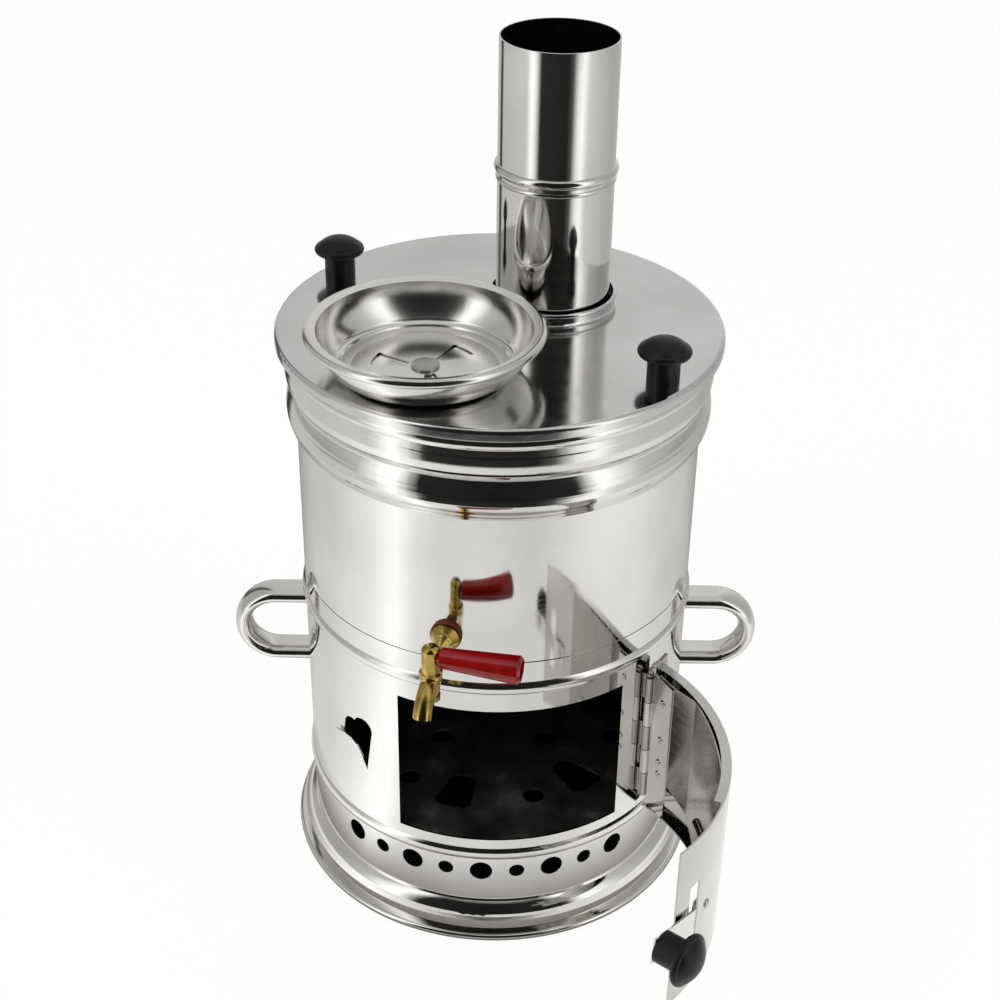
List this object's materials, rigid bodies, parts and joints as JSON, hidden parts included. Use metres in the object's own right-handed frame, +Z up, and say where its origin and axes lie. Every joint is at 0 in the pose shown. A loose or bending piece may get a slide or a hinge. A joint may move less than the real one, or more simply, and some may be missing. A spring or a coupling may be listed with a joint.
{
  "type": "samovar",
  "caption": "Charcoal samovar: a round water tank with tap over a firebox with a hinged door, on a flared vented base, with a lid, a steam dish, side handles and a chimney pipe.",
  "frame": {"origin": "middle of the base ring on the ground", "axes": "+Z up, -Y towards the front with the fire door opening and the tap, +X towards the door hinge side, handles on the X axis"},
  "size_m": [0.3064, 0.3755, 0.4806],
  "materials": {
    "steel": "polished",
    "soot": "dull, sooted",
    "brass": "polished, a little tarnished",
    "knob": "satin",
    "red": "gloss",
    "fibre": "matte",
    "pin": "satin"
  },
  "bodies": {
    "boiler": {"base_shell": "steel", "ash_floor": "soot", "firebox_shell": "steel", "grate_ledge": "soot", "fire_grate": "soot", "tank_floor": "soot", "flue_pipe": "soot", "tank_shell": "steel", "handle_right": "steel", "handle_left": "steel", "tap_washer": "fibre", "tap_body": "brass", "tap_nut": "brass", "hinge_leaf_fixed": "steel", "hinge_pin": "pin", "hinge_rivets_fixed": "pin"},
    "lid_group": {"lid": "steel", "lid_knob_front": "knob", "lid_knob_back": "knob", "lid_knob_screws": "pin", "dish_rivet": "pin"},
    "dish": {"steam_dish": "steel"},
    "chimney": {"chimney_pipe": "steel"},
    "door": {"door_panel": "steel", "door_shield": "steel", "hinge_leaf_moving": "steel", "latch_rivet": "pin", "hinge_rivets_door": "pin"},
    "latch": {"latch_strip": "steel", "latch_knob": "knob", "latch_screw": "pin"},
    "tap_key": {"tap_plug": "brass", "tap_lever": "red", "tap_plug_nut": "brass"}
  },
  "joints": [
    {"name": "door_hinge", "type": "hinge", "parent": "boiler", "child": "door", "pos_m": [0.08551, -0.07539, 0.116], "axis": [0, 0, 1], "range_deg": [-83, 6]},
    {"name": "latch_pivot", "type": "hinge", "parent": "door", "child": "latch", "pos_m": [0.10742, -0.19566, 0.108], "axis": [0.878, -0.4787, 0], "range_deg": [-5, 18]},
    {"name": "tap_turn", "type": "hinge", "parent": "boiler", "child": "tap_key", "pos_m": [-0.03221, -0.13625, 0.2], "axis": [0, 0, 1], "range_deg": [-90, 0]},
    {"name": "lid_lift", "type": "slide", "parent": "boiler", "child": "lid_group", "axis": [0, 0, 1], "range_m": [0, 0.16]},
    {"name": "dish_turn", "type": "hinge", "parent": "lid_group", "child": "dish", "pos_m": [-0.0372, -0.0555, 0.336], "axis": [0, 0, 1], "range_deg": [0, 60]},
    {"name": "chimney_lift", "type": "slide", "parent": "boiler", "child": "chimney", "axis": [0, 0, 1], "range_m": [0, 0.06]}
  ]
}
